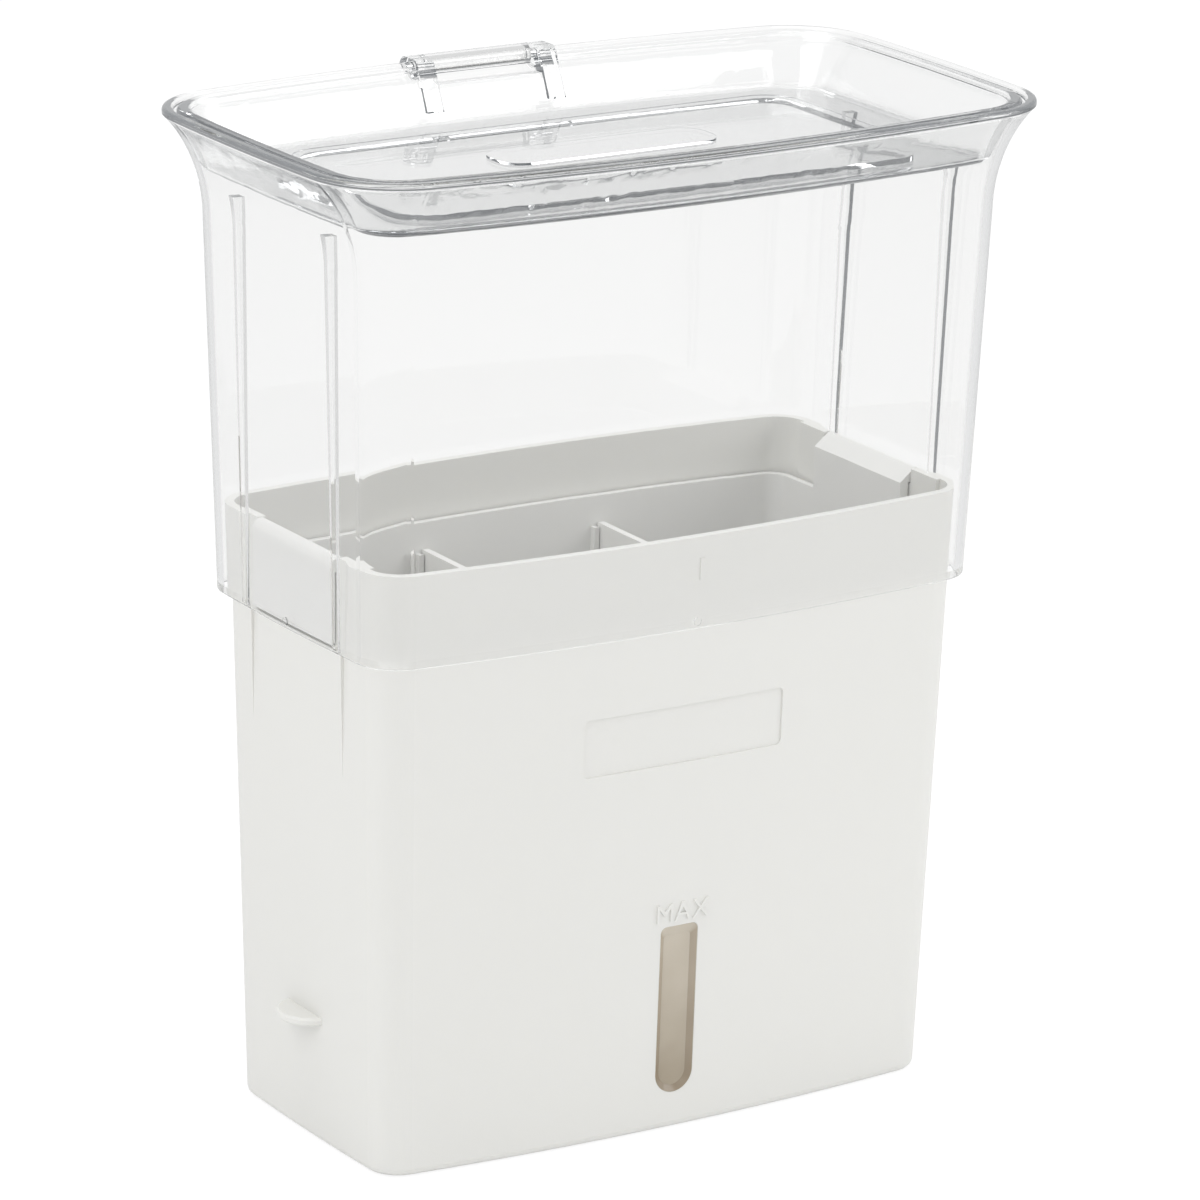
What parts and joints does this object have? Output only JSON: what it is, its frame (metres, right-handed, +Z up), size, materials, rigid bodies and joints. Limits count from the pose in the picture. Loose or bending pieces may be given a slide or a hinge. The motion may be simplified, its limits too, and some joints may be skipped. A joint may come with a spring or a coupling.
{
  "type": "herb keeper",
  "caption": "Tapered water reservoir with a lift-out basket, a clear cover that telescopes over it and a hinged clear tray lid.",
  "frame": {"origin": "centre of the base that the keeper stands on", "axes": "+Z up; the broad face with the level window looks along -Y; the lid's hinge is on the +Y side; +X to the right of someone who faces the window"},
  "size_m": [0.1764, 0.1044, 0.2216],
  "materials": {
    "white_plastic": "fine satin moulded plastic",
    "basket_plastic": "satin moulded plastic",
    "smoked_plastic": "smoked translucent plastic",
    "clear_plastic": "clear moulded plastic, polished",
    "pin_plastic": "clear plastic rod"
  },
  "bodies": {
    "reservoir": {"reservoir": "white_plastic", "level_window": "smoked_plastic"},
    "basket": {"basket": "basket_plastic"},
    "divider_left": {"divider_left": "basket_plastic"},
    "divider_right": {"divider_right": "basket_plastic"},
    "cover": {"cover_sleeve": "clear_plastic"},
    "lid": {"lid": "clear_plastic", "hinge_pin": "pin_plastic"}
  },
  "joints": [
    {"name": "basket_lift", "type": "slide", "parent": "reservoir", "child": "basket", "axis": [0, 0, 1], "range_m": [0, 0.115]},
    {"name": "divider_left_lift", "type": "slide", "parent": "basket", "child": "divider_left", "axis": [0, 0, 1], "range_m": [0, 0.018]},
    {"name": "divider_right_lift", "type": "slide", "parent": "basket", "child": "divider_right", "axis": [0, 0, 1], "range_m": [0, 0.018]},
    {"name": "cover_slide", "type": "slide", "parent": "basket", "child": "cover", "axis": [0, 0, 1], "range_m": [-0.0723, 0.025]},
    {"name": "lid_hinge", "type": "hinge", "parent": "cover", "child": "lid", "pos_m": [0, 0.05023, 0.2192], "axis": [-1, 0, 0], "range_deg": [0, 105]}
  ]
}
